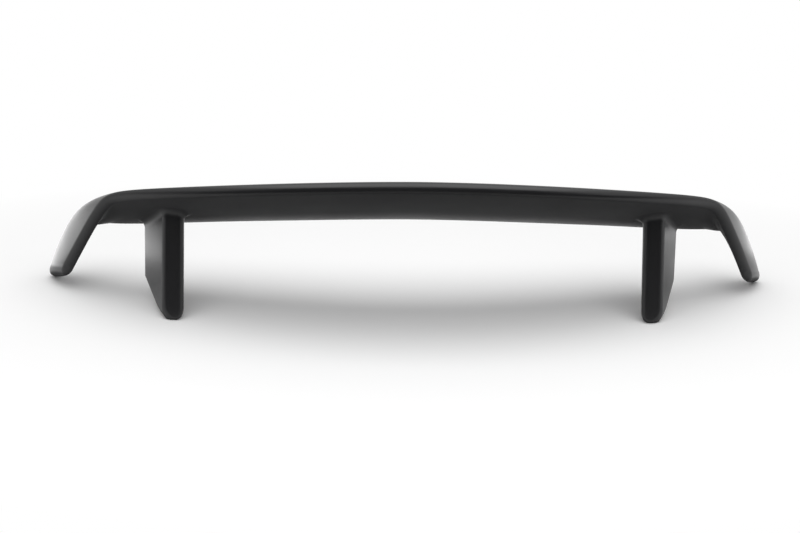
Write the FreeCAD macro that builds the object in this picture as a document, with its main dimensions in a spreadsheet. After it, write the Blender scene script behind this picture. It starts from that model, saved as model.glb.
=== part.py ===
"""Trunk spoiler: an arched, swept blade with turned-down ends on two pedestal legs, moulded as one piece.

Frame: +Z up from the floor that it stands on, +Y towards the front of the car, X across, middle at X = 0.
It stands on the heels of its two feet and on its two tips. All sizes are in millimetres and degrees.
"""
import FreeCAD, Part
import math
import os
import re
import Sketcher

V = FreeCAD.Vector

# Driving dimensions, one cell each
SIZES = {
    # rear-view line of the trailing edge
    "crown_height": 290.0,
    "arch_radius": 2100.0,
    "corner_x": 573.0,
    "corner_softness": 21.5,
    "tip_x": 661.0,
    "tip_height": 36.87,
    # blade section: two edge rounds joined by two long arcs
    "trailing_y": -173.0,
    "trailing_sweep": 275.0,
    "trailing_radius": 11.0,
    "leading_radius": 13.5,
    "top_radius": 1170.0,
    "underside_radius": 1040.0,
    "middle_chord": 234.0,
    "tip_chord": 76.0,
    "blade_tilt": 27.5,
    "tip_tilt": 18.7,
    "tip_flare": 22.2,
    "tip_radius": 9.0,
    # legs
    "leg_x": 445.0,
    "leg_splay": 43.0,
    "leg_rear_width": 41.0,
    "leg_front_width": 34.0,
    "leg_corner_radius": 12.0,
    "leg_top_setback": 55.0,
    "leg_top_length": 105.0,
    "heel_y": -69.0,
    "heel_drop": 3.55,
    "foot_length": 142.0,
    "sole_angle": 20.0,
    "sole_fillet": 6.0,
    "junction_fillet": 8.0,
    # threaded inserts moulded into the soles
    "insert_radius": 6.0,
    "insert_length": 20.0,
    "collar_radius": 8.0,
    "collar_depth": 2.0,
    "thread_radius": 3.0,
    "thread_depth": 16.0,
    "insert_inset": 38.0,
    "insert_spacing": 66.0,
}

# Shares of the half span where the blade's chord swings outwards and where its tilt eases off
FLARE_START, FLARE_END = 0.30, 0.74
EASE_START = 0.78
SWEEP_POWER = 2.24
CHORD_POWER = 5.7

# Stations of the right half as shares of its span, closer together round the corner
STATIONS = (0.0, 0.17, 0.33, 0.47, 0.59, 0.69, 0.765, 0.82, 0.852, 0.878, 0.902, 0.926, 0.95, 0.975, 1.0)

# How near an edge has to lie to be picked for a fillet
EDGE_TOLERANCE = 0.01

# Angles round each tip's edge, from the winglet's side to its end, where the tip has a section
TIP_ANGLES = (30, 60, 84)

doc = FreeCAD.newDocument("trunk_spoiler")
sheet = doc.addObject("Spreadsheet::Sheet", "Sizes")
for row, (alias, size) in enumerate(SIZES.items(), 1):
    sheet.set(f"A{row}", alias)
    sheet.set(f"B{row}", str(size))
    sheet.setAlias(f"B{row}", alias)
doc.recompute()


def number(expression):
    """Value of an expression on the sheet, as a plain number."""
    value = sheet.evalExpression(expression)
    return float(getattr(value, "Value", value))


def cells(text):
    """Expression with each cell's alias written out with the sheet's name."""
    return re.sub(r"[a-z_]+", lambda word: f"Sizes.{word[0]}" if word[0] in SIZES else word[0], text)


# Rear-view path as expressions: a shallow parabola, bent down round the corner by a hyperbola
TIP_BEND = "( tip_x - corner_x + sqrt( ( tip_x - corner_x ) ^ 2 + corner_softness ^ 2 ) )"
STEEPNESS = f"( ( crown_height - tip_x ^ 2 / ( 2 * arch_radius ) - tip_height ) / {TIP_BEND} )"


def path_place(share, tip_angle):
    """Turn, X and Z of the trailing edge's centre at a share of the half span, as expressions."""
    across = f"( tip_x * {share} )"
    bend = f"( {across} - corner_x )"
    root = f"sqrt( {bend} ^ 2 + corner_softness ^ 2 )"
    height = f"crown_height - {across} ^ 2 / ( 2 * arch_radius ) - {STEEPNESS} * ( {bend} + {root} )"
    turn = f"atan( {across} / arch_radius + {STEEPNESS} * ( 1 + {bend} / {root} ) )"
    beyond = f"tip_radius * sin( {tip_angle} deg )"
    return turn, f"{across} + {beyond} * cos( {turn} )", f"{height} - {beyond} * sin( {turn} )"


def eased(share, start, end):
    """Smooth step from 0 to 1 between two shares of the half span."""
    ramp = min(max((share - start) / (end - start), 0.0), 1.0)
    return ramp * ramp * (3.0 - 2.0 * ramp)


def section_sizes(share, turn):
    """Trailing edge Y, chord, tilt and skew of the section at a share of the half span, as expressions.

    The chord keeps its heading in space while the path bends. It points forwards, down and, further
    out, outwards, and the tilt and skew follow from its parts along the turned section.
    """
    trailing = f"( trailing_y + trailing_sweep * {share ** SWEEP_POWER:.6f} )"
    chord = f"( middle_chord + ( tip_chord - middle_chord ) * {share ** CHORD_POWER:.6f} )"
    outwards = f"( sin( tip_flare * 1 deg ) * {eased(share, FLARE_START, FLARE_END):.6f} )"
    easing = eased(share, EASE_START, 1.0)
    down = f"( sin( ( blade_tilt + ( tip_tilt - blade_tilt ) * {easing:.6f} ) * 1 deg ) )"
    forwards = f"sqrt( 1 - {outwards} ^ 2 - {down} ^ 2 )"
    tilt = f"asin( {down} * cos( {turn} ) - {outwards} * sin( {turn} ) )"
    skew = f"atan( ( {outwards} * cos( {turn} ) + {down} * sin( {turn} ) ) / {forwards} )"
    return trailing, chord, tilt, skew


def origin_plane(body, role):
    """One of a body's own origin planes."""
    return [feature for feature in body.Origin.OriginFeatures if feature.Role == role][0]


def new_sketch(body, name, role):
    """Sketch of a body, attached to one of its origin planes."""
    sketch = body.newObject("Sketcher::SketchObject", name)
    sketch.AttachmentSupport = [(origin_plane(body, role), "")]
    sketch.MapMode = "FlatFace"
    return sketch


def place_sketch(sketch, base, rotation):
    """Bind a sketch's offset from its plane and its rotation there."""
    sketch.setExpression("AttachmentOffset", cells(f"placement(vector({'; '.join(base)}); {rotation})"))


def bind_constraint(sketch, constraint, name, expression):
    """Add a named constraint and bind its value to the sheet."""
    index = sketch.addConstraint(constraint)
    sketch.renameConstraint(index, name)
    sketch.setExpression(f"Constraints.{name}", cells(expression))


def bind_point(sketch, geometry, point, name, across, up):
    """Bind a point of the sketch to its place from the sketch's origin."""
    bind_constraint(sketch, Sketcher.Constraint("DistanceX", -1, 1, geometry, point, number(cells(across))),
                    f"{name}_across", across)
    bind_constraint(sketch, Sketcher.Constraint("DistanceY", -1, 1, geometry, point, number(cells(up))),
                    f"{name}_up", up)


def arc(centre, radius, start, end):
    """Anticlockwise arc between two angles in radians."""
    return Part.ArcOfCircle(Part.Circle(V(*centre, 0), V(0, 0, 1), radius), start, end)


def enclosing_centre(first, first_radius, second, second_radius, radius, side):
    """Centre of the circle of this radius that holds two smaller circles and touches both from inside."""
    span = math.dist(first, second)
    along = ((second[0] - first[0]) / span, (second[1] - first[1]) / span)
    near, far = radius - first_radius, radius - second_radius
    run = (near ** 2 - far ** 2 + span ** 2) / (2.0 * span)
    rise = side * math.sqrt(near ** 2 - run ** 2)
    return (first[0] + run * along[0] - rise * along[1], first[1] + run * along[1] + rise * along[0])


def heading(origin, target):
    """Angle of the line from one point to another."""
    return math.atan2(target[1] - origin[1], target[0] - origin[0])


def blade_section(body, name, share, side, tip_angle=0):
    """Section of the blade: trailing round, top arc, leading round and underside arc, all tangent.

    Its plane stands across the path, turned by the skew so that the leading edge lies further out.
    Round a tip's edge the whole outline is drawn in by the same amount.
    """
    turn, across, height = path_place(share, tip_angle)
    trailing_y, chord, tilt, skew = section_sizes(share, turn)
    leading_ahead = f"{chord} * cos( {tilt} )"
    leading_up = f"0 - {chord} * sin( {tilt} )"
    inset = f"tip_radius * ( 1 - cos( {tip_angle} deg ) )"
    top_radius = f"top_radius * {chord} / middle_chord - {inset}"
    underside_radius = f"underside_radius * {chord} / middle_chord - {inset}"
    trailing_radius = f"trailing_radius - {inset}"
    leading_radius = f"leading_radius - {inset}"
    sketch = new_sketch(body, name, "YZ_Plane")
    place_sketch(sketch, (trailing_y, height, f"( {across} ) * {side}"),
                 f"rotationx({turn} * {side}) * rotationy({skew} * {-side})")

    tail = (0.0, 0.0)
    nose = (number(cells(leading_ahead)), number(cells(leading_up)))
    tail_radius, nose_radius = number(cells(trailing_radius)), number(cells(leading_radius))
    upper, lower = number(cells(top_radius)), number(cells(underside_radius))
    top = enclosing_centre(tail, tail_radius, nose, nose_radius, upper, -1.0)
    under = enclosing_centre(tail, tail_radius, nose, nose_radius, lower, 1.0)
    sketch.addGeometry([
        arc(top, upper, heading(top, nose), heading(top, tail)),
        arc(tail, tail_radius, heading(top, tail), heading(under, tail)),
        arc(under, lower, heading(under, tail), heading(under, nose)),
        arc(nose, nose_radius, heading(under, nose), heading(top, nose)),
    ], False)
    for first, second in ((0, 1), (1, 2), (2, 3), (3, 0)):
        sketch.addConstraint(Sketcher.Constraint("Tangent", first, 2, second, 1))
    for index, label, radius in ((0, "top", top_radius), (1, "trailing", trailing_radius),
                                 (2, "underside", underside_radius), (3, "leading", leading_radius)):
        bind_constraint(sketch, Sketcher.Constraint("Radius", index, number(cells(radius))),
                        f"{label}_radius", radius)
    sketch.addConstraint(Sketcher.Constraint("Coincident", 1, 3, -1, 1))
    bind_point(sketch, 3, 3, "leading", leading_ahead, leading_up)
    return sketch


def rounded_outline(sketch, corners, radius):
    """Closed outline with rounded corners, from the centres of its corner arcs given anticlockwise."""
    points = [(number(cells(across)), number(cells(up))) for across, up in corners]
    size = number(cells(radius))
    count = len(points)
    facing = [heading(points[i], points[(i + 1) % count]) - math.pi / 2 for i in range(count)]
    for i, point in enumerate(points):
        sketch.addGeometry(arc(point, size, facing[i - 1], facing[i]), False)
    for i, point in enumerate(points):
        following = points[(i + 1) % count]
        offset = (size * math.cos(facing[i]), size * math.sin(facing[i]))
        sketch.addGeometry(Part.LineSegment(V(point[0] + offset[0], point[1] + offset[1], 0),
                                            V(following[0] + offset[0], following[1] + offset[1], 0)), False)
    for i in range(count):
        sketch.addConstraint(Sketcher.Constraint("Tangent", i, 2, count + i, 1))
        sketch.addConstraint(Sketcher.Constraint("Tangent", count + i, 2, (i + 1) % count, 1))
        bind_constraint(sketch, Sketcher.Constraint("Radius", i, size), f"corner_{i}_radius", radius)
        bind_point(sketch, i, 3, f"corner_{i}", *corners[i])


def leg_outline(sketch, rear, length):
    """Outline of a leg: a flat rear face, sides that splay outwards, and a narrower front."""
    front = f"{rear} + {length} - leg_corner_radius"
    back = f"{rear} + leg_corner_radius"
    rear_half = "( leg_rear_width / 2 - leg_corner_radius )"
    front_half = "( leg_front_width / 2 - leg_corner_radius )"
    rounded_outline(sketch, [
        (f"leg_x - {rear_half}", back),
        (f"leg_x + {rear_half}", back),
        (f"leg_x + leg_splay + {front_half}", front),
        (f"leg_x + leg_splay - {front_half}", front),
    ], "leg_corner_radius")


def edges_on(shape, tool):
    """Names of a shape's edges whose middle lies on the given faces, edges or wires."""
    names = []
    for index, edge in enumerate(shape.Edges, 1):
        middle = Part.Vertex(edge.valueAt((edge.FirstParameter + edge.LastParameter) / 2.0))
        if tool.distToShape(middle)[0] < EDGE_TOLERANCE:
            names.append(f"Edge{index}")
    return names


def round_edges(body, name, base, edges, radius):
    """Fillet on named edges of a feature, with its radius bound to the sheet."""
    fillet = body.newObject("PartDesign::Fillet", name)
    fillet.Base = (base, edges)
    fillet.setExpression("Radius", cells(radius))
    body.Tip = fillet
    doc.recompute()
    return fillet


def insert_circles(sketch, radius):
    """Circles of the four threaded inserts in the plane of the soles, two along the middle of each foot."""
    lean = "leg_splay / ( foot_length - leg_corner_radius * 2 )"
    for side in (-1, 1):
        for place in ("insert_inset", "( insert_inset + insert_spacing )"):
            across = f"( leg_x + ( {place} - leg_corner_radius ) * {lean} ) * {side}"
            centre = V(number(cells(across)), number(cells(place)), 0)
            index = sketch.addGeometry(Part.Circle(centre, V(0, 0, 1), number(cells(radius))), False)
            bind_constraint(sketch, Sketcher.Constraint("Radius", index, number(cells(radius))),
                            f"insert_{index}_radius", radius)
            bind_point(sketch, index, 3, f"insert_{index}", across, place)


def sole_sketch(body, name):
    """Sketch in the plane that both soles share, which rises forwards from the heels."""
    sketch = new_sketch(body, name, "XY_Plane")
    place_sketch(sketch, ("0", "heel_y", "0 - heel_drop"), "rotationx(sole_angle * 1 deg)")
    return sketch


def extrude(body, kind, name, sketch, length):
    """Pad or pocket that runs up from the soles into the legs."""
    feature = body.newObject(f"PartDesign::{kind}", name)
    feature.Profile = sketch
    feature.setExpression("Length", cells(length))
    feature.Reversed = kind == "Pocket"
    body.Tip = feature
    doc.recompute()


body = doc.addObject("PartDesign::Body", "spoiler_body")
body.Label = "spoiler_body"

# Blade: one loft from the left tip to the right tip
sections = []
for place in range(len(STATIONS) - 1, 0, -1):
    sections.append(blade_section(body, f"left_section_{place}", STATIONS[place], -1))
for place, share in enumerate(STATIONS):
    sections.append(blade_section(body, f"right_section_{place}", share, 1))
blade = body.newObject("PartDesign::AdditiveLoft", "blade")
blade.Profile = sections[0]
blade.Sections = sections[1:]
doc.recompute()

# Right tip, drawn in round its edge
tip_sections = []
for angle in TIP_ANGLES:
    tip_sections.append(blade_section(body, f"right_tip_{angle}", 1.0, 1, angle))
doc.recompute()
tip = body.newObject("PartDesign::AdditiveLoft", "right_tip")
tip.Profile = sections[-1]
tip.Sections = tip_sections
doc.recompute()

# Right leg, from its sole up into the blade, and its mirror image
leg_share = number(cells("leg_x / tip_x"))
_, _, leg_crown = path_place(leg_share, 0)
sole = sole_sketch(body, "right_sole")
leg_outline(sole, "0", "foot_length")
leg_top = new_sketch(body, "right_leg_top", "XY_Plane")
place_sketch(leg_top, ("0", f"trailing_y + trailing_sweep * {leg_share ** SWEEP_POWER:.6f}", leg_crown),
             "rotationx(blade_tilt * -1 deg)")
leg_outline(leg_top, "leg_top_setback", "leg_top_length")
doc.recompute()
leg = body.newObject("PartDesign::AdditiveLoft", "right_leg")
leg.Profile = sole
leg.Sections = [leg_top]
doc.recompute()
both_sides = body.newObject("PartDesign::Mirrored", "both_sides")
both_sides.Originals = [tip, leg]
both_sides.MirrorPlane = (origin_plane(body, "YZ_Plane"), [""])
body.Tip = both_sides
doc.recompute()

# Legs flow into the blade and have soft sole edges
seams = edges_on(both_sides.Shape, Part.Compound(blade.Shape.Edges))
blade_edges = edges_on(both_sides.Shape, Part.Compound(blade.Shape.Faces))
joint_edges = [name for name in blade_edges if name not in seams]
joints = round_edges(body, "leg_joints", both_sides, joint_edges, "junction_fillet")
sole_edges = edges_on(joints.Shape, Part.Compound([sole.Shape, sole.Shape.mirror(V(0, 0, 0), V(1, 0, 0))]))
round_edges(body, "sole_edges", joints, sole_edges, "sole_fillet")

# Seats of the inserts
seats = sole_sketch(body, "insert_seats")
insert_circles(seats, "insert_radius")
extrude(body, "Pocket", "insert_seat", seats, "insert_length")
collars = sole_sketch(body, "collar_seats")
insert_circles(collars, "collar_radius")
extrude(body, "Pocket", "collar_seat", collars, "collar_depth")

# Threaded inserts: a shank with a collar flush with the sole, and a blind threaded bore
inserts = doc.addObject("PartDesign::Body", "threaded_inserts")
inserts.Label = "threaded_inserts"
inserts.AllowCompound = True
shanks = sole_sketch(inserts, "shank_outlines")
insert_circles(shanks, "insert_radius")
extrude(inserts, "Pad", "shanks", shanks, "insert_length")
rims = sole_sketch(inserts, "collar_outlines")
insert_circles(rims, "collar_radius")
extrude(inserts, "Pad", "collars", rims, "collar_depth")
bores = sole_sketch(inserts, "bore_outlines")
insert_circles(bores, "thread_radius")
extrude(inserts, "Pocket", "threads", bores, "thread_depth")

# Every object has to be sound before anything is written
for item in doc.Objects:
    if "Invalid" in item.State or "Error" in item.State:
        raise RuntimeError(f"{item.Label} failed: {item.State}")
os.makedirs("parts", exist_ok=True)
for part in (body, inserts):
    if part.Shape.isNull() or not part.Shape.isValid():
        raise RuntimeError(f"{part.Label} has no sound shape")
    part.Shape.exportStep(f"parts/{part.Label}.step")
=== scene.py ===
"""Looks of the trunk spoiler: its moulding as a smooth surface, its finishes, the floor, light and camera.

Frame: metres, +Z up from the floor it stands on, +Y towards the front of the car, X across, middle at X = 0.
"""
import math
import bpy
import numpy as np
from mathutils import Matrix, Vector


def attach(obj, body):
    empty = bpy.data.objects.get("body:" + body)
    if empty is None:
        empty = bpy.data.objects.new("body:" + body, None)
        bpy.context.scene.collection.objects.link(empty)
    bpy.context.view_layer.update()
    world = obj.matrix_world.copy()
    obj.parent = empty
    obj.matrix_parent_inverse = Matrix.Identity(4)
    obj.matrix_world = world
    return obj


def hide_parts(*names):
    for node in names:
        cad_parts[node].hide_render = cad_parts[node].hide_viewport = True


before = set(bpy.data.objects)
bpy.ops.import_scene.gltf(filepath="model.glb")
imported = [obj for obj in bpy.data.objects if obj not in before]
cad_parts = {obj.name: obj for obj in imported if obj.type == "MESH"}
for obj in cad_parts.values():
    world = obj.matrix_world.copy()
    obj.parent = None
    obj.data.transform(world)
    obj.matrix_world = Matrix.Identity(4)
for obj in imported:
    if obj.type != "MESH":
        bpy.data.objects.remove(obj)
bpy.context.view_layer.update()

# Rear-view line of the trailing edge: a shallow parabola, bent down round the corner by a hyperbola
CROWN_HEIGHT = 0.290
ARCH_RADIUS = 2.1
CORNER_X = 0.573
CORNER_SOFTNESS = 0.0215
TIP_X = 0.661
TIP_HEIGHT = 0.03687
TIP_BEND = TIP_X - CORNER_X + math.hypot(TIP_X - CORNER_X, CORNER_SOFTNESS)
STEEPNESS = (CROWN_HEIGHT - TIP_X ** 2 / (2.0 * ARCH_RADIUS) - TIP_HEIGHT) / TIP_BEND

# Blade section: two edge rounds joined by two long arcs
TRAILING_Y = -0.173
TRAILING_SWEEP = 0.275
TRAILING_RADIUS = 0.011
LEADING_RADIUS = 0.0135
TOP_RADIUS = 1.17
UNDERSIDE_RADIUS = 1.04
MIDDLE_CHORD = 0.234
TIP_CHORD = 0.076
BLADE_TILT = math.radians(27.5)
TIP_TILT = math.radians(18.7)
TIP_FLARE = math.radians(22.2)

# Shares of the half span where the chord swings outwards and where its tilt eases off, and the powers of
# the share by which the trailing edge sweeps and the chord shrinks
FLARE_START, FLARE_END = 0.30, 0.74
EASE_START = 0.78
SWEEP_POWER = 2.24
CHORD_POWER = 5.7

# Rounder tips than the solid's: the share where they start, how far they run on, how far they are drawn in
# and the steps that close their ends
TIP_SHARE = 0.993
TIP_LENGTH = 0.0185
TIP_INSET = 0.0104
TIP_CLOSING = (0.5, 1.0)

# Fuller winglets than the solid's: the shares between which the top arc tightens, and the part it loses
BULGE_START, BULGE_END = 0.74, 0.94
WINGLET_BULGE = 0.5

# Softer inner corners than the solid's: the shares where the fill starts, peaks and ends, and its size
FILL_START, FILL_PEAK, FILL_END = 0.76, 0.875, 0.975
CORNER_FILL = 0.0065

# Legs
LEG_X = 0.445
LEG_SPLAY = 0.043
LEG_REAR_WIDTH = 0.041
LEG_FRONT_WIDTH = 0.034
LEG_CORNER_RADIUS = 0.012
LEG_TOP_SETBACK = 0.055
LEG_TOP_LENGTH = 0.105
HEEL_Y = -0.069
HEEL_DROP = 0.00355
FOOT_LENGTH = 0.142
SOLE_ANGLE = math.radians(20.0)
SOLE_FILLET = 0.006
SOLE_LEAN = LEG_SPLAY / (FOOT_LENGTH - 2.0 * LEG_CORNER_RADIUS)

# Rounder heels and leg tops than the solid's
HEEL_RISE = 0.034
HEEL_REACH = 0.05
HEEL_INSET = 0.0115
HEEL_PULL = 0.42
JUNCTION_FILLET = 0.015

# Seats of the inserts in the soles
COLLAR_RADIUS = 0.008
INSERT_INSET = 0.038
INSERT_SPACING = 0.066

# Fineness of the surfaces
HALF_ROWS = 220
PATH_STEPS = 4001
TOP_STEPS, ROUND_STEPS, UNDER_STEPS = 40, 14, 40
TIP_ROWS = 10
LEG_ROWS = 12
FILLET_ROWS = 9
CORNER_STEPS, SIDE_STEPS = 10, 40
RING_STEPS, RING_ROWS = 96, 4

# Steps of the search for the line where a leg meets the blade, and the share of the wall where it starts
MEETING_STEPS = 12
MEETING_START = 0.8

# Weight that makes a square corner's fillet a quarter circle, and how far a surface's edge is tucked in
ROUND_WEIGHT = math.sqrt(0.5)
TUCK = 0.0003
TUCK_REACH = 4.0 * TUCK

# Least sine that is divided by, and the factors that mirror a point about the middle
TINY = 1e-6
OTHER_HAND = np.array([-1.0, 1.0, 1.0])


def eased(share, start, end):
    """Smooth step from 0 to 1 between two shares of the half span.

    It is three squares of the ramp less two of its cubes.
    """
    ramp = np.clip((share - start) / (end - start), 0.0, 1.0)
    return ramp * ramp * (3.0 - 2.0 * ramp)


def path(share, tip_angle):
    """Turn, X and Z of the trailing edge's centre: a parabola less a hyperbola that bends it down.

    The hyperbola is the distance past the corner plus its root with the corner's softness. Round a tip the
    path runs straight on by the tip's length times the sine of the tip angle.
    """
    across = TIP_X * share
    bend = across - CORNER_X
    root = np.hypot(bend, CORNER_SOFTNESS)
    height = CROWN_HEIGHT - across ** 2 / (2.0 * ARCH_RADIUS) - STEEPNESS * (bend + root)
    turn = np.arctan(across / ARCH_RADIUS + STEEPNESS * (1.0 + bend / root))
    beyond = TIP_LENGTH * np.sin(tip_angle)
    return turn, across + beyond * np.cos(turn), height - beyond * np.sin(turn)


def trailing_y(share):
    """Y of the trailing edge's centre: its place in the middle plus the sweep times a power of the share."""
    return TRAILING_Y + TRAILING_SWEEP * share ** SWEEP_POWER


def enclosing_centre(nose, tail_radius, nose_radius, radius, side):
    """Centre of a circle of a radius that holds the rounds at the origin and the nose and touches both.

    Its distances from the two are the radius less each round's own, which gives its run along the line
    between them and its rise from that line.
    """
    span = np.hypot(nose[..., 0], nose[..., 1])
    along = nose / span[..., None]
    near, far = radius - tail_radius, radius - nose_radius
    run = (near ** 2 - far ** 2 + span ** 2) / (2.0 * span)
    rise = side * np.sqrt(near ** 2 - run ** 2)
    return np.stack([run * along[..., 0] - rise * along[..., 1],
                     run * along[..., 1] + rise * along[..., 0]], -1)


def heading(origin, target):
    """Angle of the line from one point to another."""
    return np.arctan2(target[..., 1] - origin[..., 1], target[..., 0] - origin[..., 0])


def arc_points(centre, radius, start, end, steps):
    """Points of an anticlockwise arc, its end left out.

    Each is the centre plus the radius times the cosine and sine of its angle.
    """
    share = np.arange(steps) / steps
    angle = start[:, None] + np.mod(end - start, 2.0 * np.pi)[:, None] * share
    spread = np.stack([np.cos(angle), np.sin(angle)], -1)
    return centre[:, None] + radius[:, None, None] * spread


def sections(share, tip_angle=0.0, gather=0.0):
    """Rows of points round the blade's outline, one row for each share of the half span.

    The outline is a top arc, trailing round, underside arc and leading round, all tangent. Its chord points
    forwards, down and, further out, outwards, and keeps that heading while the path bends. On the winglets
    the top arc has a smaller radius. Round the corner the leading round is larger by the corner's fill, all
    of it on the inner side. Round a tip the outline is drawn in by the tip's inset times one less the cosine
    of the tip angle, and it is gathered towards its chord line to close the end.
    """
    share = np.asarray(share, float)
    tip_angle = np.broadcast_to(tip_angle, share.shape)
    gather = np.broadcast_to(gather, share.shape)
    turn, x, z = path(share, tip_angle)
    y = trailing_y(share)
    chord = MIDDLE_CHORD + (TIP_CHORD - MIDDLE_CHORD) * share ** CHORD_POWER
    outwards = math.sin(TIP_FLARE) * eased(share, FLARE_START, FLARE_END)
    down = np.sin(BLADE_TILT + (TIP_TILT - BLADE_TILT) * eased(share, EASE_START, 1.0))
    forwards = np.sqrt(1.0 - outwards ** 2 - down ** 2)
    tilt = np.arcsin(down * np.cos(turn) - outwards * np.sin(turn))
    skew = np.arctan((outwards * np.cos(turn) + down * np.sin(turn)) / forwards)
    inset = TIP_INSET * (1.0 - np.cos(tip_angle))
    bulge = 1.0 - WINGLET_BULGE * eased(share, BULGE_START, BULGE_END)
    upper = TOP_RADIUS * chord / MIDDLE_CHORD * bulge - inset
    lower = UNDERSIDE_RADIUS * chord / MIDDLE_CHORD - inset
    fill = CORNER_FILL * (eased(share, FILL_START, FILL_PEAK) - eased(share, FILL_PEAK, FILL_END))
    tail_radius, nose_radius = TRAILING_RADIUS - inset, LEADING_RADIUS + fill - inset
    nose = np.stack([(chord - fill) * np.cos(tilt) - fill * np.sin(tilt),
                     -(chord - fill) * np.sin(tilt) - fill * np.cos(tilt)], -1)
    tail = np.zeros_like(nose)
    top = enclosing_centre(nose, tail_radius, nose_radius, upper, -1.0)
    under = enclosing_centre(nose, tail_radius, nose_radius, lower, 1.0)
    outline = np.concatenate([
        arc_points(top, upper, heading(top, nose), heading(top, tail), TOP_STEPS),
        arc_points(tail, tail_radius, heading(top, tail), heading(under, tail), ROUND_STEPS),
        arc_points(under, lower, heading(under, tail), heading(under, nose), UNDER_STEPS),
        arc_points(nose, nose_radius, heading(under, nose), heading(top, nose), ROUND_STEPS),
    ], 1)
    along = np.clip((outline * nose[:, None]).sum(-1) / (chord ** 2)[:, None], 0.0, 1.0)
    outline = outline + (along[..., None] * nose[:, None] - outline) * gather[:, None, None]
    ahead, up = outline[..., 0], outline[..., 1]
    turn, skew = turn[:, None], skew[:, None]
    out = ahead * np.sin(skew)
    return np.stack([x[:, None] + out * np.cos(turn) + up * np.sin(turn),
                     y[:, None] + ahead * np.cos(skew),
                     z[:, None] - out * np.sin(turn) + up * np.cos(turn)], -1)


def blade_rows():
    """Grid of the blade from the left tip's end to the right one's.

    The rows of the right half are evenly spaced along the path, then go round the tip and close it. The left
    half is the same rows mirrored and in the opposite order.
    """
    share = np.linspace(0.0, TIP_SHARE, PATH_STEPS)
    _, x, z = path(share, 0.0)
    step = np.sqrt(np.diff(x) ** 2 + np.diff(trailing_y(share)) ** 2 + np.diff(z) ** 2)
    length = np.concatenate([[0.0], np.cumsum(step)])
    span = sections(np.interp(np.linspace(0.0, length[-1], HALF_ROWS), length, share))
    quarter = np.linspace(0.0, np.pi / 2, TIP_ROWS)[1:]
    angle = np.concatenate([quarter, np.full(len(TIP_CLOSING), np.pi / 2)])
    gather = np.concatenate([np.zeros(len(quarter)), TIP_CLOSING])
    tip = sections(np.full(len(angle), TIP_SHARE), angle, gather)
    half = np.concatenate([span, tip])
    return np.concatenate([half[::-1] * OTHER_HAND, half[1:]])


def leg_outline(rear, length):
    """Points and outward directions of a leg's rounded outline in its own plane, anticlockwise from above.

    Each corner is an arc of the corner radius round its centre, and the straight sides run between the arcs.
    """
    rear_half = LEG_REAR_WIDTH / 2 - LEG_CORNER_RADIUS
    front_half = LEG_FRONT_WIDTH / 2 - LEG_CORNER_RADIUS
    back, front = rear + LEG_CORNER_RADIUS, rear + length - LEG_CORNER_RADIUS
    centre = np.array([[LEG_X - rear_half, back], [LEG_X + rear_half, back],
                       [LEG_X + LEG_SPLAY + front_half, front], [LEG_X + LEG_SPLAY - front_half, front]])
    following = np.roll(centre, -1, axis=0)
    facing = heading(centre, following) - np.pi / 2
    start = np.roll(facing, 1)
    sweep = np.mod(facing - start, 2.0 * np.pi)
    corner_angle = start[:, None] + sweep[:, None] * np.linspace(0.0, 1.0, CORNER_STEPS)
    side_share = np.linspace(0.0, 1.0, SIDE_STEPS + 1)[1:-1]
    angle = np.concatenate([corner_angle, np.repeat(facing[:, None], SIDE_STEPS - 1, 1)], 1)
    base = np.concatenate([np.repeat(centre[:, None], CORNER_STEPS, 1),
                           centre[:, None] + (following - centre)[:, None] * side_share[:, None]], 1)
    outward = np.stack([np.cos(angle), np.sin(angle)], -1).reshape(-1, 2)
    return base.reshape(-1, 2) + LEG_CORNER_RADIUS * outward, outward


def heel_share(points):
    """How far each point of a sole's outline belongs to the heel's rounded corners, from 0 to 1.

    It is the square of the place across the leg, as a share of its half width, times the square of what is
    left of the heel's reach.
    """
    across = (points[:, 0] - LEG_X - (points[:, 1] - LEG_CORNER_RADIUS) * SOLE_LEAN) / (LEG_REAR_WIDTH / 2)
    left_over = np.clip(1.0 - points[:, 1] / HEEL_REACH, 0.0, 1.0)
    return (np.minimum(across ** 2, 1.0) * left_over ** 2)[:, None]


def in_plane(points, y, z, angle):
    """Points of a plane that leans about X by an angle, raised into space from the plane's own start."""
    return np.stack([points[..., 0],
                     y + points[..., 1] * math.cos(angle),
                     z + points[..., 1] * math.sin(angle)], -1)


def in_sole(points):
    """Points of the soles' plane in space."""
    return in_plane(points, HEEL_Y, -HEEL_DROP, SOLE_ANGLE)


def surface_point(grid, row, column):
    """Points of a grid between its four nearest points, with their changes by row and by column."""
    low_row = np.clip(np.floor(row).astype(int), 0, grid.shape[0] - 2)
    low_column = np.clip(np.floor(column).astype(int), 0, grid.shape[1] - 2)
    down, across = (row - low_row)[:, None], (column - low_column)[:, None]
    first, right = grid[low_row, low_column], grid[low_row, low_column + 1]
    below, last = grid[low_row + 1, low_column], grid[low_row + 1, low_column + 1]
    by_row = (below - first) * (1.0 - across) + (last - right) * across
    by_column = (right - first) * (1.0 - down) + (last - below) * down
    return first + (right - first) * across + by_row * down, by_row, by_column


def meeting(grid, start, direction, row, column):
    """Rows and columns of a grid where lines cross it, found by repeated linear steps."""
    place = np.tile([float(row), float(column), MEETING_START], (len(start), 1))
    for _ in range(MEETING_STEPS):
        point, by_row, by_column = surface_point(grid, place[:, 0], place[:, 1])
        miss = start + place[:, 2:] * direction - point
        system = np.stack([by_row, by_column, -direction], -1)
        place = place + np.linalg.solve(system, miss[..., None])[..., 0]
    return place[:, 0], place[:, 1]


def unit(vectors):
    """Vectors of length one in the same directions."""
    return vectors / np.linalg.norm(vectors, axis=-1, keepdims=True)


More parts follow.
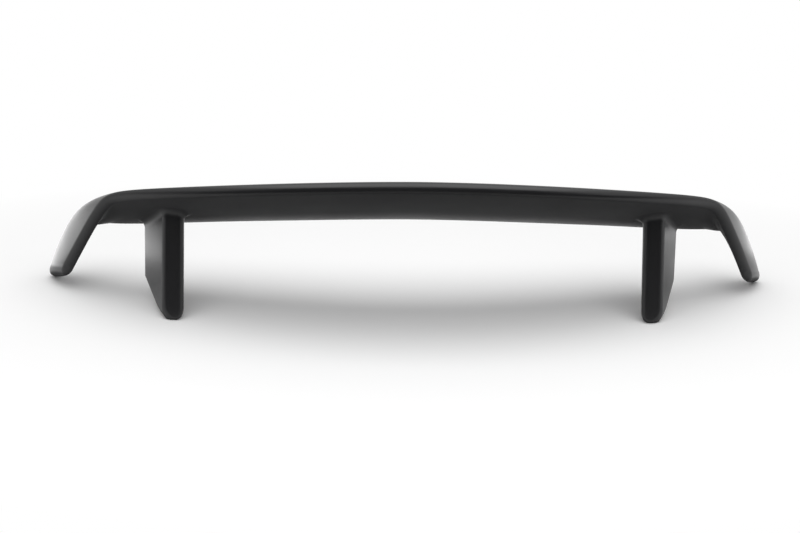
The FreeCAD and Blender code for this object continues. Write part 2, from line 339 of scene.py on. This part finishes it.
def rounded(first, corner, last, pull=ROUND_WEIGHT):
    """Rows of a fillet: a weighted quadratic curve between two edges, pulled towards the corner."""
    share = np.linspace(0.0, 1.0, FILLET_ROWS)[:, None, None]
    near, middle, far = (1.0 - share) ** 2, 2.0 * pull * share * (1.0 - share), share ** 2
    return (near * first + middle * corner + far * last) / (near + middle + far)


def leg_rows(under):
    """Grid of the right leg from inside its sole's edge up to the blade's underside, with two outlines.

    The wall is ruled from the sole's outline to the outline in the blade, and stops where it meets the
    blade. The fillet at the sole reaches its radius over the tangent of half the angle there, and further at
    the heel. The outlines are that of the flat sole, and that of the upper fillet in the underside's rows
    and columns.
    """
    leg_share = LEG_X / TIP_X
    _, _, top_z = path(leg_share, 0.0)
    flat_sole, outward = leg_outline(0.0, FOOT_LENGTH)
    flat_top, _ = leg_outline(LEG_TOP_SETBACK, LEG_TOP_LENGTH)
    sole = in_sole(flat_sole)
    wall = in_plane(flat_top, trailing_y(leg_share), top_z, -BLADE_TILT) - sole
    middle = under.shape[1] // 2
    row, column = meeting(under, sole, wall, np.abs(under[:, middle, 0] - LEG_X).argmin(), middle)
    joint, by_row, by_column = surface_point(under, row, column)

    rise = unit(wall)
    facing = unit(np.cross(by_row, by_column))
    facing = facing * np.sign((facing * (sole - joint)).sum(-1, keepdims=True))
    seam = np.roll(joint, -1, axis=0) - np.roll(joint, 1, axis=0)
    away = unit(np.cross(facing, seam))
    away = away * np.sign((away * (joint - joint.mean(0))).sum(-1, keepdims=True))
    spread = np.stack([by_row, by_column], -1)
    change = np.einsum("nij,nj->ni", np.linalg.pinv(spread), JUNCTION_FILLET * away)
    footprint = np.stack([row, column], -1) + change
    landing, _, _ = surface_point(under, footprint[:, 0], footprint[:, 1])
    top_fillet = rounded(joint - JUNCTION_FILLET * rise, joint, landing)
    top_tuck = landing + TUCK_REACH * away - TUCK * facing

    heel = heel_share(flat_sole)
    inward = in_plane(-outward, 0.0, 0.0, SOLE_ANGLE)
    half_angle = np.arccos((inward * rise).sum(-1, keepdims=True)) / 2.0
    reach = SOLE_FILLET / np.tan(half_angle)
    loop = flat_sole - np.minimum(reach + (HEEL_INSET - SOLE_FILLET) * heel, HEEL_INSET) * outward
    sole_tuck = in_sole(loop - TUCK_REACH * outward) + np.array([0.0, 0.0, TUCK])
    pull = np.sin(half_angle) + (HEEL_PULL - np.sin(half_angle)) * heel
    wall_start = sole + (reach + (HEEL_RISE - SOLE_FILLET) * heel) * rise
    sole_fillet = rounded(in_sole(loop), sole, wall_start, pull)
    share = np.linspace(0.0, 1.0, LEG_ROWS)[1:-1, None, None]
    sides = sole_fillet[-1] + (top_fillet[0] - sole_fillet[-1]) * share
    rows = np.concatenate([sole_tuck[None], sole_fillet, sides, top_fillet, top_tuck[None]])
    return rows, loop, footprint


def sole_ring(loop, place, limit, side):
    """Grid of half a sole round one insert's collar: straight lines from the collar to the sole's edge.

    The distance to the edge is read off the loop by its bearing from the insert, up to a line half way.
    """
    centre = np.array([LEG_X + (place - LEG_CORNER_RADIUS) * SOLE_LEAN, place])
    offset = loop - centre
    angle = np.arange(RING_STEPS) / RING_STEPS * 2.0 * np.pi
    bearing = np.arctan2(offset[:, 1], offset[:, 0])
    to_edge = np.interp(angle, bearing, np.hypot(offset[:, 0], offset[:, 1]), period=2.0 * np.pi)
    closing = side * np.sin(angle)
    to_line = np.where(closing > TINY, side * (limit - place) / np.maximum(closing, TINY), np.inf)
    reach = np.minimum(to_edge, to_line)[:, None]
    ray = np.stack([np.cos(angle), np.sin(angle)], -1)
    share = np.linspace(0.0, 1.0, RING_ROWS)[:, None, None]
    return in_sole(centre + (COLLAR_RADIUS + (reach - COLLAR_RADIUS) * share) * ray)


def covered(shape, outline):
    """Which points of a grid lie inside an outline that is given in its rows and columns.

    Beyond such a point, the outline's edges cross its row an odd number of times.
    """
    row, column = np.arange(shape[0])[:, None, None], np.arange(shape[1])[None, :, None]
    start, end = outline, np.roll(outline, -1, axis=0)
    crossing = (start[:, 0] > row) != (end[:, 0] > row)
    rise = end[:, 0] - start[:, 0]
    slope = (end[:, 1] - start[:, 1]) / np.where(rise == 0.0, 1.0, rise)
    beyond = start[:, 1] + (row - start[:, 0]) * slope > column
    return (crossing & beyond).sum(-1) % 2 == 1


def other_side(grid):
    """A grid mirrored about the middle, its columns turned round so that it still faces outwards."""
    return grid[:, ::-1] * OTHER_HAND


def placed(name, data):
    """Object of a mesh, a light or a camera, put into the scene at the origin."""
    made = bpy.data.objects.new(name, data)
    bpy.context.scene.collection.objects.link(made)
    return made


def joined_mesh(name, grids, hidden):
    """One smooth piece of several grids, each joined round its second direction, with a quad for each cell.

    Cells of the first grid with four hidden corners are left out, and so are corners that no cell uses.
    """
    corners, quads, offset = [], [], 0
    for grid in grids:
        index = offset + np.arange(grid[..., 0].size).reshape(grid.shape[:2])
        beside = np.roll(index, -1, axis=1)
        quads.append(np.stack([index[:-1], beside[:-1], beside[1:], index[1:]], -1).reshape(-1, 4))
        corners.append(grid.reshape(-1, 3))
        offset += index.size
    quads[0] = quads[0][~hidden.ravel()[quads[0]].all(1)]
    used, renamed = np.unique(np.concatenate(quads), return_inverse=True)
    mesh = bpy.data.meshes.new(name)
    mesh.from_pydata(np.concatenate(corners)[used].tolist(), [], renamed.reshape(-1, 4).tolist())
    mesh.shade_smooth()
    return placed(name, mesh)


def flat_sheet(name, corners, faces):
    """Object of a few flat faces between corners that are given one by one."""
    mesh = bpy.data.meshes.new(name)
    mesh.from_pydata(corners, [], faces)
    return placed(name, mesh)


# Moulding: the blade, and on each side a leg with the two halves of its sole
blade = blade_rows()
end_rows = TIP_ROWS - 1 + len(TIP_CLOSING)
under_rows = slice(end_rows, -end_rows)
under_columns = slice(TOP_STEPS + ROUND_STEPS, TOP_STEPS + ROUND_STEPS + UNDER_STEPS + 1)
underside = blade[under_rows, under_columns]
right_leg, sole_loop, footprint = leg_rows(underside)
half_way = INSERT_INSET + INSERT_SPACING / 2
right_side = [right_leg,
              sole_ring(sole_loop, INSERT_INSET, half_way, 1.0),
              sole_ring(sole_loop, INSERT_INSET + INSERT_SPACING, half_way, -1.0)]
left_side = [other_side(grid) for grid in right_side]
under_leg = covered(underside.shape[:2], footprint)
hidden = np.zeros(blade.shape[:2], bool)
hidden[under_rows, under_columns] = under_leg | under_leg[::-1]
moulding = joined_mesh("spoiler_moulding", [blade, *right_side, *left_side], hidden)
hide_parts("spoiler_body")
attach(moulding, "root")

# Middle part of a noise's values, which is spread over the whole of a range, and details of its patterns
NOISE_LOW, NOISE_HIGH = 0.3, 0.7
SOFT_DETAIL, FINE_DETAIL = 3.0, 2.0

# Satin black: colours, features a metre, roughness and grain
MOULDING_BLACK = (0.010, 0.010, 0.011, 1.0)
MOULDING_IOR = 1.5
CLOUD_SCALE = 7.0
SHINIEST, DULLEST = 0.29, 0.37
GRAIN_SCALE = 1400.0
GRAIN_STRENGTH = 0.12
GRAIN_DEPTH = 0.0002

# Dust: colour, specks by their distance from a speck's centre, and where in a noise they show
DUST_GREY = (0.06, 0.06, 0.058, 1.0)
SPECK_SCALE = 160.0
SPECK_CORE, SPECK_EDGE = 0.05, 0.09
DUST_SCALE = 24.0
DUST_FROM, DUST_TO = 0.52, 0.68
DUST_MOST = 0.35

# Dull underside: the normal's Z where it sets in and is whole, the roughness it adds, and the Z between
# which it goes back to a share where the surface is nearly level
DULL_FROM, DULL_TO = -0.1, -0.6
DULL_ADDED = 0.58
LEVEL_FROM, LEVEL_TO = -0.885, -0.935
LEVEL_SHARE = 0.1

# Turned brass: colour, features a metre, roughness and tool grain
BRASS_YELLOW = (0.62, 0.43, 0.17, 1.0)
STAIN_SCALE = 260.0
BRASS_SHINIEST, BRASS_DULLEST = 0.24, 0.42
TOOL_SCALE = 2500.0
TOOL_STRENGTH = 0.2
TOOL_DEPTH = 0.0001


def new_node(tree, kind, inputs=(), **settings):
    """Node of a kind with its settings, each named input set to a value or joined to an output."""
    made = tree.nodes.new(kind)
    for name, value in settings.items():
        setattr(made, name, value)
    for name, value in dict(inputs).items():
        if isinstance(value, bpy.types.NodeSocket):
            tree.links.new(value, made.inputs[name])
        else:
            made.inputs[name].default_value = value
    return made


def ranged(tree, value, low, high, start, end):
    """Value taken from one range to another and kept inside it."""
    inputs = {"Value": value, "From Min": low, "From Max": high, "To Min": start, "To Max": end}
    return new_node(tree, "ShaderNodeMapRange", inputs).outputs["Result"]


def combined(tree, operation, first, second):
    """Result of an operation on two values."""
    return new_node(tree, "ShaderNodeMath", {0: first, 1: second}, operation=operation).outputs[0]


def noise(tree, place, scale, detail):
    """Noise at a scale in features a metre."""
    inputs = {"Vector": place, "Scale": scale, "Detail": detail}
    return new_node(tree, "ShaderNodeTexNoise", inputs).outputs["Fac"]


def new_material(name):
    """Empty material with its node tree and output."""
    made = bpy.data.materials.new(name)
    made.use_nodes = True
    made.node_tree.nodes.clear()
    output = new_node(made.node_tree, "ShaderNodeOutputMaterial")
    return made, made.node_tree, output


def satin_black():
    """Satin black moulding: a fine grain, faint cloudiness, a little dust and a duller underside."""
    made, tree, output = new_material("satin_black_moulding")
    surface = new_node(tree, "ShaderNodeTexCoord")
    place = surface.outputs["Object"]
    speck = new_node(tree, "ShaderNodeTexVoronoi", {"Vector": place, "Scale": SPECK_SCALE})
    dust = ranged(tree, speck.outputs["Distance"], SPECK_CORE, SPECK_EDGE, 1.0, 0.0)
    thin = ranged(tree, noise(tree, place, DUST_SCALE, FINE_DETAIL), DUST_FROM, DUST_TO, 0.0, DUST_MOST)
    dusty = combined(tree, "MULTIPLY", dust, thin)
    tone = new_node(tree, "ShaderNodeMixRGB", {"Fac": dusty, "Color1": MOULDING_BLACK, "Color2": DUST_GREY})
    facing = new_node(tree, "ShaderNodeSeparateXYZ", {"Vector": surface.outputs["Normal"]}).outputs["Z"]
    below = ranged(tree, facing, DULL_FROM, DULL_TO, 0.0, DULL_ADDED)
    level = ranged(tree, facing, LEVEL_FROM, LEVEL_TO, 1.0, LEVEL_SHARE)
    cloud = noise(tree, place, CLOUD_SCALE, SOFT_DETAIL)
    sheen = ranged(tree, cloud, NOISE_LOW, NOISE_HIGH, SHINIEST, DULLEST)
    roughness = combined(tree, "ADD", sheen, combined(tree, "MULTIPLY", below, level))
    grain = noise(tree, place, GRAIN_SCALE, FINE_DETAIL)
    bump = new_node(tree, "ShaderNodeBump", {
        "Height": grain, "Strength": GRAIN_STRENGTH, "Distance": GRAIN_DEPTH})
    shader = new_node(tree, "ShaderNodeBsdfPrincipled", {
        "Base Color": tone.outputs["Color"], "Roughness": roughness, "Normal": bump.outputs["Normal"],
        "IOR": MOULDING_IOR})
    tree.links.new(shader.outputs[0], output.inputs["Surface"])
    return made


def turned_brass():
    """Turned brass: a fine tool grain and a soft stain in its shine."""
    made, tree, output = new_material("turned_brass")
    place = new_node(tree, "ShaderNodeTexCoord").outputs["Object"]
    stain = noise(tree, place, STAIN_SCALE, SOFT_DETAIL)
    roughness = ranged(tree, stain, NOISE_LOW, NOISE_HIGH, BRASS_SHINIEST, BRASS_DULLEST)
    grain = noise(tree, place, TOOL_SCALE, FINE_DETAIL)
    bump = new_node(tree, "ShaderNodeBump", {
        "Height": grain, "Strength": TOOL_STRENGTH, "Distance": TOOL_DEPTH})
    shader = new_node(tree, "ShaderNodeBsdfPrincipled", {
        "Base Color": BRASS_YELLOW, "Metallic": 1.0, "Roughness": roughness,
        "Normal": bump.outputs["Normal"]})
    tree.links.new(shader.outputs[0], output.inputs["Surface"])
    return made


moulding.data.materials.append(satin_black())
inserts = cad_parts["threaded_inserts"]
inserts.data.materials.clear()
inserts.data.materials.append(turned_brass())

# Floor: pale round the spoiler, where it takes the shadow, and turning plain white at an oval distance
FLOOR_REACH = 30.0
FLOOR_PALE = (0.97, 0.97, 0.97, 1.0)
WHITE = (1.0, 1.0, 1.0, 1.0)
OVAL_SCALE = (0.7, 1.1, 1.0)
OVAL_START, OVAL_END = 0.62, 1.0


def floor_paint():
    """Pale matt floor that fades into plain white by the length of its scaled place."""
    made, tree, output = new_material("floor_paint")
    place = new_node(tree, "ShaderNodeTexCoord").outputs["Object"]
    oval = new_node(tree, "ShaderNodeMapping", {"Vector": place, "Scale": OVAL_SCALE}).outputs["Vector"]
    distance = new_node(tree, "ShaderNodeVectorMath", {0: oval}, operation="LENGTH").outputs["Value"]
    pale = new_node(tree, "ShaderNodeBsdfDiffuse", {"Color": FLOOR_PALE})
    white = new_node(tree, "ShaderNodeEmission", {"Color": WHITE, "Strength": 1.0})
    fade = ranged(tree, distance, OVAL_START, OVAL_END, 0.0, 1.0)
    shader = new_node(tree, "ShaderNodeMixShader", {0: fade, 1: pale.outputs[0], 2: white.outputs[0]})
    tree.links.new(shader.outputs[0], output.inputs["Surface"])
    return made


floor = flat_sheet("floor", [(-FLOOR_REACH, -FLOOR_REACH, -TUCK), (FLOOR_REACH, -FLOOR_REACH, -TUCK),
                             (FLOOR_REACH, FLOOR_REACH, -TUCK), (-FLOOR_REACH, FLOOR_REACH, -TUCK)],
                   [(0, 1, 2, 3)])
floor.data.materials.append(floor_paint())

# Surroundings: white to the eye and in reflections, dimmer as a light
AMBIENT = 0.50
world = bpy.data.worlds.new("studio")
bpy.context.scene.world = world
world.use_nodes = True
air = world.node_tree
air.nodes.clear()
rays = new_node(air, "ShaderNodeLightPath").outputs
seen = combined(air, "ADD", rays["Is Camera Ray"], rays["Is Glossy Ray"])
seen = combined(air, "ADD", seen, rays["Is Transmission Ray"])
strength = ranged(air, seen, 0.0, 1.0, AMBIENT, 1.0)
sky = new_node(air, "ShaderNodeBackground", {"Color": WHITE, "Strength": strength})
air_output = new_node(air, "ShaderNodeOutputWorld")
air.links.new(sky.outputs[0], air_output.inputs["Surface"])

# Lights: a large soft one overhead, and panels flat on the floor that only reflections see, each with its
# name, place across and ahead, width, depth and power
OVERHEAD_PLACE = (0.0, -0.75, 2.6)
OVERHEAD_WIDTH, OVERHEAD_DEPTH = 4.4, 3.4
OVERHEAD_POWER = 70.0
PANEL_HEIGHT = 0.005
PANELS = (("left_panel", -1.25, 0.8, 1.4, 1.1, 9.2),
          ("right_panel", 0.95, 0.65, 0.8, 0.5, 1.6))


def soft_light(name, place, target, width, depth, power):
    """Rectangular soft light that looks at a target."""
    data = bpy.data.lights.new(name, "AREA")
    data.shape = "RECTANGLE"
    data.size = width
    data.size_y = depth
    data.energy = power
    made = placed(name, data)
    made.location = place
    made.rotation_euler = (Vector(target) - Vector(place)).to_track_quat("-Z", "Y").to_euler()
    return made


soft_light("overhead_light", OVERHEAD_PLACE, (0.0, 0.0, 0.0), OVERHEAD_WIDTH, OVERHEAD_DEPTH, OVERHEAD_POWER)
for name, across, ahead, width, depth, power in PANELS:
    panel = soft_light(name, (across, ahead, PANEL_HEIGHT), (across, ahead, 1.0), width, depth, power)
    panel.visible_diffuse = False
    panel.visible_camera = False

# Dark room on the camera's side, a floor and a wall that only reflections see
ROOM_SIDE = 6.0
ROOM_START, ROOM_END = -0.3, -5.0
ROOM_LIFT = 0.001
ROOM_HEIGHT = 4.0
ROOM_DARK = (0.02, 0.02, 0.02, 1.0)
room = flat_sheet("dark_room", [(-ROOM_SIDE, ROOM_START, ROOM_LIFT), (ROOM_SIDE, ROOM_START, ROOM_LIFT),
                                (ROOM_SIDE, ROOM_END, ROOM_LIFT), (-ROOM_SIDE, ROOM_END, ROOM_LIFT),
                                (ROOM_SIDE, ROOM_END, ROOM_HEIGHT), (-ROOM_SIDE, ROOM_END, ROOM_HEIGHT)],
                  [(0, 3, 2, 1), (3, 5, 4, 2)])
room_paint, room_tree, room_output = new_material("dark_room_paint")
room_shader = new_node(room_tree, "ShaderNodeBsdfDiffuse", {"Color": ROOM_DARK})
room_tree.links.new(room_shader.outputs[0], room_output.inputs["Surface"])
room.data.materials.append(room_paint)
room.visible_camera = False
room.visible_diffuse = False
room.visible_shadow = False

# Camera: behind the spoiler and above it, as in the photo
ELEVATION = math.radians(19.0)
AZIMUTH = math.radians(-2.987)
ROLL = math.radians(1.474)
DISTANCE = 3.0
TARGET = Vector((-0.0344, -0.1740, 0.1461))
SENSOR_WIDTH = 36.0
LENS = 76.66
back = Vector((math.sin(AZIMUTH) * math.cos(ELEVATION), -math.cos(AZIMUTH) * math.cos(ELEVATION),
               math.sin(ELEVATION)))
level_right = Vector((0.0, 0.0, 1.0)).cross(back).normalized()
level_up = back.cross(level_right)
right = math.cos(ROLL) * level_right + math.sin(ROLL) * level_up
up = math.cos(ROLL) * level_up - math.sin(ROLL) * level_right
camera = placed("camera", bpy.data.cameras.new("camera"))
camera.data.sensor_width = SENSOR_WIDTH
camera.data.lens = LENS
place = TARGET + DISTANCE * back
camera.matrix_world = Matrix(((right.x, up.x, back.x, place.x), (right.y, up.y, back.y, place.y),
                              (right.z, up.z, back.z, place.z), (0.0, 0.0, 0.0, 1.0)))
bpy.context.scene.camera = camera
bpy.context.scene.view_settings.view_transform = "Standard"
